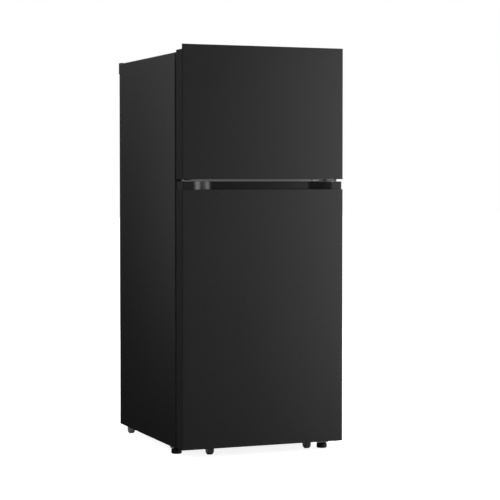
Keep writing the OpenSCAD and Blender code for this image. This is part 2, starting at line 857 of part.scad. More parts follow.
// two rows of cells on a shaft, with a handle on the shaft's end
module ice_tray() {
    x0 = ice_x[0] + 3.5;
    x1 = ice_x[1] - 3.5;
    cells = 6;
    cell_w = (x1 - x0 - 4) / cells;
    bottom = ice_axis_z - ice_drop;
    color("#cfe0ee") {
        difference() {
            slab(x0, x1, ice_axis_y - ice_half, ice_axis_y + ice_half, bottom, ice_axis_z);
            for (i = [0 : cells - 1], y = [ice_axis_y + 3 - ice_half, ice_axis_y + 1.5])
                translate([x0 + 3 + i * cell_w, y, bottom + 2]) cube([cell_w - 2, ice_half - 4.5, ice_drop]);
        }
        rod_x(x0 - 5, x0 + 2, ice_axis_y, ice_axis_z, shaft_r);
        rod_x(x1 - 2, x1 + 12, ice_axis_y, ice_axis_z, shaft_r);
        slab(x1 + 5, x1 + 12, ice_axis_y - 40, ice_axis_y, ice_axis_z - 5, ice_axis_z + 5);
        rod_x(x1 + 5, x1 + 24, ice_axis_y - 40, ice_axis_z, 6);
    }
}

module ice_bin() {
    z = shelf_top + slide_gap;
    y0 = drawer_y + 36;
    color("#d4e2ec") translate([(ice_x[0] + ice_x[1]) / 2, 0, 0]) {
        tub((ice_x[1] - ice_x[0]) / 2, y0, y0 + 290, z, z + ice_bin_h, 14, bin_t);
        across(50, y0 - 7, y0, z + ice_bin_h - 16, z + ice_bin_h - 10);
    }
}

module fridge_air_duct() {
    half = 92;
    z0 = step_z + 30;
    z1 = fridge_top - 10;
    wall = 2.5;
    y = fridge_back - duct_d;
    color("#e3e6e8") difference() {
        across(half, y, fridge_back, z0, z1);
        across(half - wall, y + wall, fridge_back + over, z0 + wall, z1 - wall);
        for (level = shelf_levels, side = [-1, 1], i = [1, 2])
            translate([side * 52 - 20, y - over, level + shelf_step - frame_h - 60 + i * 16])
                cube([40, 6, 7]);
    }
}

module lamp_housing() {
    color("#eceef0") difference() {
        across(140, dial_y, dial_y + 130, fridge_top - 38, fridge_top);
        across(52, dial_y + 20, dial_y + 110, fridge_top - 39, fridge_top - 26);
        rod_y(dial_x, dial_y - over, dial_y + 24, dial_z, shaft_r + run_fit);
    }
}

module temperature_dial() {
    front = dial_y - slide_gap;
    color("#f4f5f6") {
        difference() {
            rod_y(dial_x, front - 12, front, dial_z, 15);
            slab(dial_x - 1.2, dial_x + 1.2, front - 13, front - 11, dial_z + 3, dial_z + 16);
        }
        rod_y(dial_x, front - 1, dial_y + 20, dial_z, shaft_r);
        slab(dial_x - 3, dial_x + 3, front - 18, front - 11, dial_z - 13, dial_z + 2);
    }
}

glass_half = fridge_half - 14;

module shelf_glass() {
    color("#bcd3d6") for (z = shelf_levels)
        across(glass_half, shelf_y + 8, shelf_end - 8, z, z + glass_t);
}

// rails under the top shelf that the chill tray hangs in
tray_half = 200;
rail_top = shelf_levels[2] - frame_drop;
tray_lip_z = rail_top - 18;

module shelf_frames() {
    outer_half = fridge_half - 1.5;
    rail_out = tray_half + 11;
    rail_t = 3;
    color("#d7dadd") {
        for (z = shelf_levels) difference() {
            across(outer_half, shelf_y, shelf_end, z - frame_drop, z + 6);
            across(glass_half - 8, shelf_y + 16, shelf_end - 16, z - frame_drop - over, z + 7);
            across(glass_half, shelf_y + 8, shelf_end - 8, z, z + glass_t);
            across(glass_half - 5, shelf_y + 13, shelf_end - 13, z, z + 7);
        }
        for (side = [-1, 1]) mirror([side < 0 ? 1 : 0, 0, 0]) {
            slab(rail_out - 2.5, rail_out, shelf_y + 2, shelf_end - 6, tray_lip_z - rail_t, rail_top);
            slab(tray_half + 2, rail_out, shelf_y + 2, shelf_end - 6, tray_lip_z - rail_t, tray_lip_z);
            for (y = [shelf_y + 2, shelf_end - 16])
                slab(tray_half + 2, rail_out, y, y + 10, rail_top - 4, rail_top);
        }
    }
}

module chill_tray() {
    z1 = tray_lip_z + 3;
    color("#dbe6ec") {
        tub(tray_half + 1, drawer_y, drawer_y + 400, z1 - chill_h, z1, 12, bin_t);
        for (side = [-1, 1]) translate([side * (tray_half + 4) - 4, drawer_y + 6, tray_lip_z + slide_gap])
            cube([8, 374, z1 - tray_lip_z - slide_gap]);
        across(70, drawer_y - 8, drawer_y, z1 - 20, z1 - 14);
    }
}

module crisper() {
    z0 = fridge_floor + slide_gap;
    color("#dbe6ec") {
        tub(fridge_half - 9, drawer_y, step_y - 8, z0, crisper_top, 16, bin_t);
        across(fridge_half - 6, drawer_y - 4, drawer_y, z0 + 4, crisper_top);
        across(110, drawer_y - 16, drawer_y - 4, crisper_top - 34, crisper_top - 28);
    }
}

module skin_plan() {
    difference() {
        door_plan(half_w, 0, door_t - liner_t, edge_r);
        door_plan(skin_half, sheet_t, door_t, edge_r - sheet_t);
    }
}

module core_plan() { door_plan(skin_half, sheet_t, door_t - liner_t, edge_r - sheet_t); }

cap_top_z = upper_door_top - 1;
lip_back = 6;                                // the front strip of the upper door that isn't stepped

module freezer_door_skin() {
    color("#2b2c2f") difference() {
        union() {
            up(upper_door_z, upper_door_top) skin_plan();
            up(upper_door_top - over, upper_door_top + lip_h) intersection() {
                skin_plan();
                translate([-half_w, 0]) square([cabinet_w, edge_r]);
            }
        }
        slab(half_w - 6, half_w + over, lip_back, door_t, cap_top_z - hinge_drop, upper_door_top + over);
    }
}

// a cap with a front lip, stepped down round the hinge, where it carries the pin's boss
module freezer_door_top_cap() {
    plate = 4;
    low_z = cap_top_z - hinge_drop;
    color("#1f2022") difference() {
        union() {
            difference() {
                up(low_z - plate, cap_top_z) core_plan();
                slab(hinge_zone_x, half_w, lip_back, door_t, low_z, cap_top_z + over);
                slab(-half_w, hinge_zone_x - cap_t, -over, door_t, low_z - plate - over, cap_top_z - plate);
            }
            up(cap_top_z - over, upper_door_top + lip_h - 1) intersection() {
                core_plan();
                translate([-half_w, 0]) square([cabinet_w, edge_r]);
            }
            rod(hinge_x, hinge_back, low_z - boss_h, low_z, boss_r);
        }
        rod(hinge_x, hinge_back, low_z - pin_h - 1, cap_top_z + over, pin_bore_r);
    }
}

// the finger pocket under the upper door, grown by g
module freezer_grip(g) {
    front = grip_wall + 2 - g;
    across(scoop_half + g, front, scoop_depth + g, upper_door_z, upper_door_z + grip_drop - 8 + g);
}

module freezer_door_bottom_cap() {
    z1 = upper_door_z + cap_t;
    color("#1f2022") difference() {
        union() {
            up(upper_door_z, z1) core_plan();
            freezer_grip(cap_t);
            rod(hinge_x, hinge_back, upper_door_z, upper_door_z + boss_h, boss_r);
        }
        translate([0, 0, -over]) freezer_grip(0);
        rod(hinge_x, hinge_back, upper_door_z - over, upper_door_z + pin_h + 1, pin_bore_r);
    }
}

freezer_ridge_z = [freezer_floor + 22, freezer_top - 16];
fridge_ridge_z = [step_z + 16, fridge_top - 16];

// the upright ridges on a door's lining: inset 0 is their outside, and liner_t their hollow
module ridges(out_x, in_x, depth, levels, inset) {
    front = door_t - liner_t - (inset > 0 ? over : 0);
    back = door_t + depth - inset;
    for (side = [-1, 1]) mirror([side < 0 ? 1 : 0, 0, 0])
        slab(in_x + inset, out_x - inset, front, back, levels[0] + inset, levels[1] - inset);
}

module freezer_ridges(inset) {
    ridges(freezer_ridge_out, freezer_ridge_in, freezer_ridge_d, freezer_ridge_z, inset);
}

module fridge_ridges(inset) {
    ridges(fridge_ridge_out, fridge_ridge_in, fridge_ridge_d, fridge_ridge_z, inset);
}

// the room that a hinge pin's boss takes in the foam
module boss_room(z0, z1) { rod(hinge_x, hinge_back, z0 - over, z1, boss_r + fill_gap); }

module freezer_door_foam() {
    low_z = cap_top_z - hinge_drop;
    color("#d9c88a") difference() {
        union() {
            up(upper_door_z + cap_t, cap_top_z - 4) core_plan();
            freezer_ridges(liner_t);
        }
        slab(hinge_zone_x - cap_t, half_w, 0, door_t, low_z - 4, cap_top_z);
        freezer_grip(cap_t);
        boss_room(upper_door_z, upper_door_z + boss_h + fill_gap);
        boss_room(low_z - boss_h, low_z);
    }
}

module freezer_door_liner() {
    low_z = cap_top_z - hinge_drop - 1;
    color("#e8eaec") difference() {
        union() {
            across(half_w - 1, door_t - liner_t, door_t, upper_door_z + 1, low_z);
            slab(1 - half_w, hinge_zone_x, door_t - liner_t, door_t, low_z - over, cap_top_z);
            freezer_ridges(0);
        }
        freezer_ridges(liner_t);
    }
}

// a magnetic gasket: a wide foot on the door and a narrower cushion against the cabinet
module gasket(z0, z1) {
    foot_t = 5;
    out = half_w - gasket_inset;
    back = cab_front - 0.4;
    color("#1a1b1d") {
        difference() {
            across(out, door_t, door_t + foot_t, z0, z1);
            across(out - gasket_w, door_t - over, door_t + foot_t + over, z0 + gasket_w, z1 - gasket_w);
        }
        difference() {
            across(out - 3, door_t + foot_t - over, back, z0 + 3, z1 - 3);
            across(out - gasket_w + 3, door_t, back + over, z0 + gasket_w - 3, z1 - gasket_w + 3);
        }
    }
}

module freezer_door_gasket() { gasket(upper_door_z + 2, freezer_top + liner_t + 46); }

// a bin on a door, with a rail along its front edge
module door_bin(half, z, h) {
    tub(half, door_t, bin_y, z, z + h, bin_r, bin_t);
    across(half - bin_r - 6, bin_y - 1, bin_y + 3, z + h - 10, z + h);
}

module freezer_door_bins() {
    color("#dbe6ec") {
        door_bin(freezer_ridge_in, freezer_floor + 28, 94);
        door_bin(freezer_ridge_in, shelf_top + ice_bin_h + 14, 76);
    }
}

// the lower door's scoop in plan, grown by g: each end is a hollow arc that runs on into a round entry
module scoop_plan(g) {
    arcs = scoop_r + entry_r;
    hollow = [scoop_half, scoop_depth + band_back - scoop_r];
    reach = sqrt(arcs * arcs - pow(arcs - scoop_depth, 2));
    entry = [scoop_half + reach, band_back + entry_r];
    front = hollow[1] - over;
    translate([-scoop_half, front]) square([2 * scoop_half, scoop_r + g + over]);
    for (side = [0, 1]) mirror([side, 0]) {
        translate(hollow) circle(scoop_r + g);
        difference() {
            polygon([[hollow[0], front], [entry[0], front], entry, hollow]);
            translate(entry) circle(entry_r - g);
        }
    }
}

module band_plan(t) { door_plan(half_w - band_side - t, band_back + t, door_t - liner_t, edge_r); }

// the moulded block at the top of the lower door: t insets its outside and widens its pocket
module grip_block(t, bottom, top) {
    pocket_z = lower_skin_top - grip_drop;
    difference() {
        union() {
            up(lower_skin_top - t - over, top) band_plan(t);
            up(bottom, lower_skin_top - t)
                door_plan(skin_half - t, sheet_t + t, door_t - liner_t, edge_r - sheet_t);
        }
        up(lower_skin_top - over, top + over) scoop_plan(t);
        up(pocket_z - t, lower_skin_top) intersection() {
            scoop_plan(t);
            translate([-half_w, grip_wall - t]) square([cabinet_w, door_t]);
        }
    }
}

module fridge_door_skin() { color("#2b2c2f") up(lower_door_z, lower_skin_top) skin_plan(); }

module fridge_door_top_cap() {
    color("#0e0e10") difference() {
        union() {
            difference() {
                grip_block(0, grip_bottom, lower_door_top);
                grip_block(cap_t, grip_bottom - over, lower_door_top - cap_t);
            }
            rod(hinge_x, hinge_back, lower_door_top - boss_h, lower_door_top, boss_r);
        }
        rod(hinge_x, hinge_back, lower_door_top - pin_h - 1, lower_door_top + over, pin_bore_r);
    }
}

module fridge_door_bottom_cap() {
    color("#1f2022") difference() {
        union() {
            up(lower_door_z, lower_door_z + cap_t) core_plan();
            rod(hinge_x, hinge_back, lower_door_z, lower_door_z + boss_h, boss_r);
        }
        rod(hinge_x, hinge_back, lower_door_z - over, lower_door_z + pin_h + 1, pin_bore_r);
    }
}

module fridge_door_foam() {
    color("#d9c88a") difference() {
        union() {
            up(lower_door_z + cap_t, grip_bottom) core_plan();
            grip_block(cap_t + fill_gap, grip_bottom - over, lower_door_top - cap_t - fill_gap);
            fridge_ridges(liner_t);
        }
        boss_room(lower_door_z, lower_door_z + boss_h + fill_gap);
        boss_room(lower_door_top - boss_h - fill_gap, lower_door_top);
    }
}

module fridge_door_liner() {
    color("#e8eaec") difference() {
        union() {
            across(half_w - 1, door_t - liner_t, door_t, lower_door_z + 1, lower_door_top - 1);
            fridge_ridges(0);
        }
        fridge_ridges(liner_t);
    }
}

module fridge_door_gasket() { gasket(fridge_floor - liner_t - 38, lower_door_top - 2); }

module fridge_bin_lower() { color("#dbe6ec") door_bin(fridge_ridge_in, fridge_ridge_z[0] + 12, 112); }

module fridge_bin_middle() { color("#dbe6ec") door_bin(fridge_ridge_in, shelf_levels[1] + 26, 84); }

hinge_wire_r = 3;

module dairy_bin() {
    ear_t = 3;
    color("#dbe6ec") {
        difference() {
            union() {
                tub(fridge_ridge_in, door_t, bin_y, dairy_z, dairy_z + dairy_h, bin_r, bin_t);
                for (x = [-fridge_ridge_in, fridge_ridge_in - ear_t])
                    slab(x, x + ear_t, door_t, lid_axis_y + 9, dairy_z + dairy_h - 5, lid_axis_z + 7);
            }
            rod_x(-half_w, half_w, lid_axis_y, lid_axis_z, hinge_wire_r + run_fit);
        }
    }
}

module dairy_lid() {
    half = fridge_ridge_in - 3.6;
    t = 2.5;
    color("#cfdde6") {
        rod_x(-half - 3, half + 3, lid_axis_y, lid_axis_z, hinge_wire_r);
        across(half, lid_axis_y, lid_axis_y + lid_r, lid_axis_z - t / 2, lid_axis_z + t / 2);
        across(half, lid_axis_y + lid_r - t, lid_axis_y + lid_r, lid_axis_z - 12, lid_axis_z);
        across(60, lid_axis_y + lid_r - t, lid_axis_y + lid_r + 4, lid_axis_z - 12, lid_axis_z - 9);
    }
}

placed() outer_wrapper();
placed() back_panel();
placed() cabinet_foam();
placed() freezer_liner();
placed() fridge_liner();
placed() mullion_rail();
placed() base_plate();
placed() rear_trim();
placed() leg_brackets();
placed() foot_left();
placed() foot_right();
placed() front_rollers();
placed() rear_rollers();
placed() top_hinge();
placed() top_hinge_cover();
placed() middle_hinge();
placed() bottom_hinge();
placed() hinge_screws();
placed() compressor();
placed() compressor_mounts();
placed() condenser_coil();
placed() condenser_fan_mount();
placed() condenser_fan();
placed() drain_pan();
placed() drain_tube();
placed() machine_cover();
placed() power_inlet();
placed() evaporator();
placed() defrost_heater();
placed() evaporator_fan_mount();
placed() evaporator_fan();
placed() freezer_back_cover();
placed() freezer_shelf();
placed() ice_maker_frame();
placed() ice_tray();
placed() ice_bin();
placed() fridge_air_duct();
placed() lamp_housing();
placed() temperature_dial();
placed() shelf_glass();
placed() shelf_frames();
placed() chill_tray();
placed() crisper();
placed() freezer_door_skin();
placed() freezer_door_foam();
placed() freezer_door_liner();
placed() freezer_door_top_cap();
placed() freezer_door_bottom_cap();
placed() freezer_door_gasket();
placed() freezer_door_bins();
placed() fridge_door_skin();
placed() fridge_door_foam();
placed() fridge_door_liner();
placed() fridge_door_top_cap();
placed() fridge_door_bottom_cap();
placed() fridge_door_gasket();
placed() fridge_bin_lower();
placed() fridge_bin_middle();
placed() dairy_bin();
placed() dairy_lid();
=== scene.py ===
import json
import math
import bmesh
import bpy
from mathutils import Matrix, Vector

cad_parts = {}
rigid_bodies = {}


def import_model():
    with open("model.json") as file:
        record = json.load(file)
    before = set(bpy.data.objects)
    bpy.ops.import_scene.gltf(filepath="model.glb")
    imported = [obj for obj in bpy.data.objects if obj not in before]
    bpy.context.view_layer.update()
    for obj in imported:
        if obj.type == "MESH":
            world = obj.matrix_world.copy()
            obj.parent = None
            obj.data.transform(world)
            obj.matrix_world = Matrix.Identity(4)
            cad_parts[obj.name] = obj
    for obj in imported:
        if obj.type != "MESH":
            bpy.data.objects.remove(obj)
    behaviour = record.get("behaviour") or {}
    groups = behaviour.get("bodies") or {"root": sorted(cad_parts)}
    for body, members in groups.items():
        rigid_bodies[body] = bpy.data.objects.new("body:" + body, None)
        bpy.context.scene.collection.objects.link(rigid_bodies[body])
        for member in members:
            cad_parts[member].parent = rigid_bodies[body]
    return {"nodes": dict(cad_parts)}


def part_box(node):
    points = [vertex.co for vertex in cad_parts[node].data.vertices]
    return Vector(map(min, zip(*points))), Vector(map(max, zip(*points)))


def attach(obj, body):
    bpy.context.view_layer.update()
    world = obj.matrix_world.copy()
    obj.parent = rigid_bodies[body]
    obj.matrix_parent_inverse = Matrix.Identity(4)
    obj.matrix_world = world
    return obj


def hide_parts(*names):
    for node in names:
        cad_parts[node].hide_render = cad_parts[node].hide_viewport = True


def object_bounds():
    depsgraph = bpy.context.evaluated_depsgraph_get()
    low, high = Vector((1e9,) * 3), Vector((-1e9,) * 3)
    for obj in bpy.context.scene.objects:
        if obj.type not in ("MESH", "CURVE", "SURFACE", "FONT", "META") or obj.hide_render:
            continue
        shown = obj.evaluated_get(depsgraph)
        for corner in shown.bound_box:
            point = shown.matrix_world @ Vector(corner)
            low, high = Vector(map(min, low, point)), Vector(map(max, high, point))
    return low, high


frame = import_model()
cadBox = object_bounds()
nodes = frame["nodes"]
lowCorner, highCorner = (Vector(corner) for corner in cadBox)
print("frame:", len(nodes), "nodes, box", [round(v, 4) for v in (*lowCorner, *highCorner)])


class Wire:
    # one node socket, so that maths on it reads as Python
    def __init__(self, graph, socket):
        self.graph, self.socket = graph, socket

    def do(self, operation, *values):
        return self.graph.add("ShaderNodeMath", {"operation": operation}, dict(enumerate(values)))

    def __add__(self, other): return self.do("ADD", self, other)
    def __radd__(self, other): return self.do("ADD", other, self)
    def __sub__(self, other): return self.do("SUBTRACT", self, other)
    def __mul__(self, other): return self.do("MULTIPLY", self, other)
    def __neg__(self): return self.do("MULTIPLY", self, -1)
    def above(self, edge): return self.do("GREATER_THAN", self, edge)
    def high(self, other): return self.do("MAXIMUM", self, other)
    def low(self, other): return self.do("MINIMUM", self, other)
    def size(self): return self.do("ABSOLUTE", self)
    def grow(self): return self.do("EXPONENT", self)


class Graph:
    # a node tree and the one way that nodes get into it
    def add(self, kind, settings=None, sockets=None, output=0):
        node = self.tree.nodes.new(kind)
        for key, value in (settings or {}).items():
            setattr(node, key, value)
        for key, value in (sockets or {}).items():
            socket = node.inputs[key]
            if isinstance(value, Wire):
                self.tree.links.new(value.socket, socket)
            elif socket.type == "RGBA":
                socket.default_value = (*value[:3], 1)
            else:
                socket.default_value = value
        return Wire(self, node.outputs[output]) if node.outputs else node


class Finish(Graph):
    # a material or world and the nodes in it
    def __init__(self, owner):
        owner.use_nodes = True
        self.owner, self.tree = owner, owner.node_tree
        self.tree.nodes.clear()

    def place(self, scale=(1, 1, 1), move=(0, 0, 0)):
        coords = self.add("ShaderNodeTexCoord", output="Object")
        return self.add("ShaderNodeMapping", None, {"Vector": coords, "Scale": scale, "Location": move})

    def axes(self, kind="Object"):
        coords = self.add("ShaderNodeTexCoord", output=kind)
        split = self.add("ShaderNodeSeparateXYZ", None, {0: coords}).socket.node
        return [Wire(self, split.outputs[i]) for i in range(3)]

    def noise(self, scale, detail=2.0, stretch=(1, 1, 1), seed=0):
        spot = self.place(stretch, move=(seed * 3.7, seed * 1.3, seed * 2.1))
        return self.add("ShaderNodeTexNoise", None,
                        {"Vector": spot, "Scale": scale, "Detail": detail, "Roughness": 0.5})

    def cells(self, scale, output="Distance"):
        return self.add("ShaderNodeTexVoronoi", None, {"Vector": self.place(), "Scale": scale}, output)

    def blend(self, factor, first, second):
        return self.add("ShaderNodeMix", {"data_type": "RGBA"}, {0: factor, 6: first, 7: second}, 2)

    def ease(self, value, start, end):
        # 0 at the start to 1 at the end, smoothly
        return self.add("ShaderNodeMapRange", {"interpolation_type": "SMOOTHSTEP"},
                        {0: value, 1: start, 2: end, 3: 0, 4: 1})

    def bump(self, height, distance, strength=1.0, under=None):
        sockets = {"Height": height, "Distance": distance, "Strength": strength}
        if under:
            sockets["Normal"] = under
        return self.add("ShaderNodeBump", None, sockets)

    def edges(self, radius):
        # softens the look of a moulded or folded corner
        return self.add("ShaderNodeBevel", {"samples": 4}, {"Radius": radius})

    def close(self, **sockets):
        names = {"color": "Base Color", "rough": "Roughness", "metal": "Metallic", "normal": "Normal",
                 "coat": "Coat Weight", "alpha": "Alpha", "gloss": "Specular IOR Level"}
        shader = self.add("ShaderNodeBsdfPrincipled", None, {names[k]: v for k, v in sockets.items()})
        self.add("ShaderNodeOutputMaterial", None, {"Surface": shader})
        return self.owner


finishes = {}


def finish(name):
    # each recipe below is built once and named after its function
    def keep(recipe):
        built = Finish(bpy.data.materials.new(name))
        finishes[name] = recipe(built)
        return recipe
    return keep


def paintedSteel(f, look):
    # smooth black paint, duller where the sheet is folded round a side
    cloud = f.noise(2.2, 3)
    grain = f.noise(900, 2, seed=2)
    smear = f.noise(7, 4, (1, 1, 0.5), seed=5)
    across = f.axes()[0]
    side = across.size().above(highCorner.x - 0.0012)
    rough = look["rough"] + side * (look["sideRough"] - look["rough"])
    rough = rough + (cloud - 0.5) * 0.03 + (grain - 0.5) * 0.05 + (smear - 0.5) * 0.03
    color = f.blend(side, f.blend(cloud, look["dark"], look["light"]), look["folded"])
    return f.close(color=color, rough=rough, normal=f.bump(grain, 0.00004, 0.35, f.edges(look["edge"])))


@finish("blackSteel")
def blackSteel(f):
    return paintedSteel(f, {"dark": (0.009, 0.009, 0.0098), "light": (0.0105, 0.0105, 0.0115),
                            "folded": (0.0095, 0.0095, 0.0103),
                            "rough": 0.3, "sideRough": 0.34, "edge": 0.002})


@finish("doorSteel")
def doorSteel(f):
    return paintedSteel(f, {"dark": (0.0085, 0.0085, 0.0093), "light": (0.010, 0.010, 0.011),
                            "folded": (0.003, 0.003, 0.0033),
                            "rough": 0.33, "sideRough": 0.75, "edge": 0.002})


@finish("glossBlack")
def glossBlack(f):
    cloud = f.noise(3, 2)
    scuff = f.noise(60, 5, (0.15, 1, 1), seed=1)
    color = f.blend(cloud, (0.0105, 0.0105, 0.011), (0.0125, 0.0125, 0.0135))
    # hands dull the hollow's ends
    depth = f.axes()[1] - lowCorner.y
    ends = f.ease(depth, 0.01, 0.02) * f.ease(depth, 0.041, 0.034)
    side = f.axes()[0].size().above(highCorner.x - 0.0045)
    rough = (0.19 + ends * 0.22).high(side * 0.75) + (scuff - 0.5) * 0.08
    return f.close(color=color, rough=rough, normal=f.edges(0.0012), gloss=0.5)


@finish("blackPlastic")
def blackPlastic(f):
    grain = f.cells(1100)
    cloud = f.noise(6, 2)
    color = f.blend(cloud, (0.011, 0.011, 0.012), (0.016, 0.016, 0.017))
    rough = 0.5 + (grain - 0.4) * 0.15
    return f.close(color=color, rough=rough, normal=f.bump(grain, 0.00008, 0.4, f.edges(0.001)))


@finish("galvanised")
def galvanised(f):
    flake = f.cells(110, "Color")
    shade = f.add("ShaderNodeSeparateColor", None, {0: flake})
    streak = f.noise(30, 3, (1, 1, 0.1), seed=3)
    stain = f.noise(3.5, 4, seed=6)
    color = f.blend(shade * 0.35 + stain * 0.65, (0.30, 0.31, 0.325), (0.40, 0.41, 0.425))
    rough = 0.4 + shade * 0.08 + (streak - 0.5) * 0.1
    return f.close(color=color, rough=rough, metal=0.3, normal=f.bump(shade, 0.00002, 0.25, f.edges(0.0006)))


@finish("zincPlate")
def zincPlate(f):
    streak = f.noise(160, 4, (1, 0.2, 1))
    cloud = f.noise(25, 3, seed=4)
    color = f.blend(cloud, (0.5, 0.5, 0.49), (0.66, 0.66, 0.65))
    rough = 0.18 + (streak - 0.5) * 0.12
    return f.close(color=color, rough=rough, metal=1.0, normal=f.bump(streak, 0.00003, 0.3, f.edges(0.0008)))


@finish("greyRail")
def greyRail(f):
    streak = f.noise(300, 3, (0.05, 1, 1))
    color = f.blend(f.noise(4, 2), (0.40, 0.40, 0.41), (0.46, 0.46, 0.47))
    rough = 0.06 + (streak - 0.5) * 0.04
    return f.close(color=color, rough=rough, metal=0.7, normal=f.bump(streak, 0.000002, 0.1))


@finish("whiteLiner")
def whiteLiner(f):
    cloud = f.noise(2.5, 3)
    grain = f.noise(800, 1, seed=1)
    # the doors' linings end in a black edge
    edge = f.axes()[0].size().above(highCorner.x - 0.004)
    color = f.blend(edge, f.blend(cloud, (0.73, 0.745, 0.75), (0.78, 0.79, 0.795)), (0.008, 0.008, 0.0085))
    rough = 0.27 + (cloud - 0.5) * 0.05 + (grain - 0.5) * 0.06
    return f.close(color=color, rough=rough, normal=f.bump(grain, 0.00004, 0.2, f.edges(0.004)))


@finish("whitePlastic")
def whitePlastic(f):
    cloud = f.noise(5, 2)
    grain = f.cells(1300)
    color = f.blend(cloud, (0.72, 0.735, 0.745), (0.77, 0.78, 0.79))
    rough = 0.36 + (grain - 0.4) * 0.12
    return f.close(color=color, rough=rough, normal=f.bump(grain, 0.00005, 0.25, f.edges(0.0012)))


@finish("whiteWire")
def whiteWire(f):
    drip = f.noise(120, 2)
    color = f.blend(drip, (0.74, 0.75, 0.75), (0.8, 0.8, 0.8))
    return f.close(color=color, rough=0.24 + (drip - 0.5) * 0.06, normal=f.bump(drip, 0.0001, 0.2), coat=0.3)


def seeThrough(f, look):
    # clear moulded sheet, more solid where it is seen edge on
    flow = f.noise(5, 1, (1, 1, 0.4))
    facing = f.add("ShaderNodeLayerWeight", None, {"Blend": 0.35}, "Facing")
    alpha = look["face"] + facing * (look["edge"] - look["face"])
    color = f.blend(flow, look["dark"], look["light"])
    rough = look["rough"] + (flow - 0.5) * 0.03
    return f.close(color=color, rough=rough, alpha=alpha, normal=f.edges(0.0012), gloss=0.6)


@finish("clearPlastic")
def clearPlastic(f):
    return seeThrough(f, {"dark": (0.70, 0.75, 0.78), "light": (0.76, 0.80, 0.82), "rough": 0.1,
                          "face": 0.2, "edge": 0.75})


@finish("smokyPlastic")
def smokyPlastic(f):
    return seeThrough(f, {"dark": (0.34, 0.45, 0.55), "light": (0.40, 0.51, 0.60), "rough": 0.16,
                          "face": 0.42, "edge": 0.85})


@finish("shelfGlass")
def shelfGlass(f):
    return seeThrough(f, {"dark": (0.55, 0.68, 0.66), "light": (0.60, 0.72, 0.70), "rough": 0.03,
                          "face": 0.14, "edge": 0.8})


@finish("frostedLens")
def frostedLens(f):
    grain = f.noise(500, 2)
    color = f.blend(grain, (0.82, 0.84, 0.86), (0.88, 0.9, 0.92))
    return f.close(color=color, rough=0.4 + (grain - 0.5) * 0.1, alpha=0.72 + (grain - 0.5) * 0.1,
                   normal=f.bump(grain, 0.0001, 0.4))


@finish("ink")
def ink(f):
    wear = f.noise(700, 3)
    color = f.blend(wear, (0.10, 0.11, 0.125), (0.16, 0.17, 0.19))
    return f.close(color=color, rough=0.5 + (wear - 0.5) * 0.2)


@finish("rubber")
def rubber(f):
    dust = f.noise(40, 5, seed=2)
    grain = f.noise(1200, 2)
    color = f.blend(dust, (0.004, 0.004, 0.0042), (0.008, 0.008, 0.0085))
    rough = 0.7 + (dust - 0.5) * 0.15
    return f.close(color=color, rough=rough, gloss=0.35,
                   normal=f.bump(grain, 0.00006, 0.4, f.edges(0.0008)))


def wheelPlastic(f, dark, light):
    scuff = f.noise(90, 5, (0.2, 1, 1))
    rough = 0.42 + (scuff - 0.5) * 0.2
    return f.close(color=f.blend(scuff, dark, light), rough=rough,
                   normal=f.bump(scuff, 0.0002, 0.3, f.edges(0.0008)))


@finish("rollerPlastic")
def rollerPlastic(f):
    return wheelPlastic(f, (0.070, 0.070, 0.072), (0.110, 0.110, 0.113))


@finish("footPlastic")
def footPlastic(f):
    return wheelPlastic(f, (0.0025, 0.0025, 0.0026), (0.006, 0.006, 0.0063))


@finish("greyWheel")
def greyWheel(f):
    return wheelPlastic(f, (0.17, 0.17, 0.175), (0.26, 0.26, 0.265))


@finish("fanPlastic")
def fanPlastic(f):
    return wheelPlastic(f, (0.011, 0.011, 0.012), (0.022, 0.022, 0.023))


@finish("enamel")
def enamel(f):
    peel = f.noise(260, 2)
    color = f.blend(f.noise(12, 3), (0.009, 0.009, 0.01), (0.014, 0.014, 0.015))
    return f.close(color=color, rough=0.22 + (peel - 0.5) * 0.1, normal=f.bump(peel, 0.0003, 0.35))


@finish("aluminium")
def aluminium(f):
    streak = f.noise(220, 3, (0.1, 1, 1))
    color = f.blend(streak, (0.62, 0.63, 0.64), (0.74, 0.75, 0.76))
    rough = 0.3 + (streak - 0.5) * 0.2
    return f.close(color=color, rough=rough, metal=1.0, normal=f.bump(streak, 0.00004, 0.3))


@finish("copper")
def copper(f):
    stain = f.noise(60, 5)
    color = f.blend(stain, (0.62, 0.26, 0.13), (0.34, 0.13, 0.07))
    return f.close(color=color, rough=0.28 + stain * 0.25, metal=1.0, normal=f.bump(stain, 0.0001, 0.2))


@finish("foam")
def foam(f):
    bubble = f.cells(420)
    color = f.blend(f.noise(18, 4), (0.62, 0.5, 0.26), (0.72, 0.6, 0.34))
    return f.close(color=color, rough=0.85 + (bubble - 0.4) * 0.1, normal=f.bump(bubble, 0.0008, 0.6))


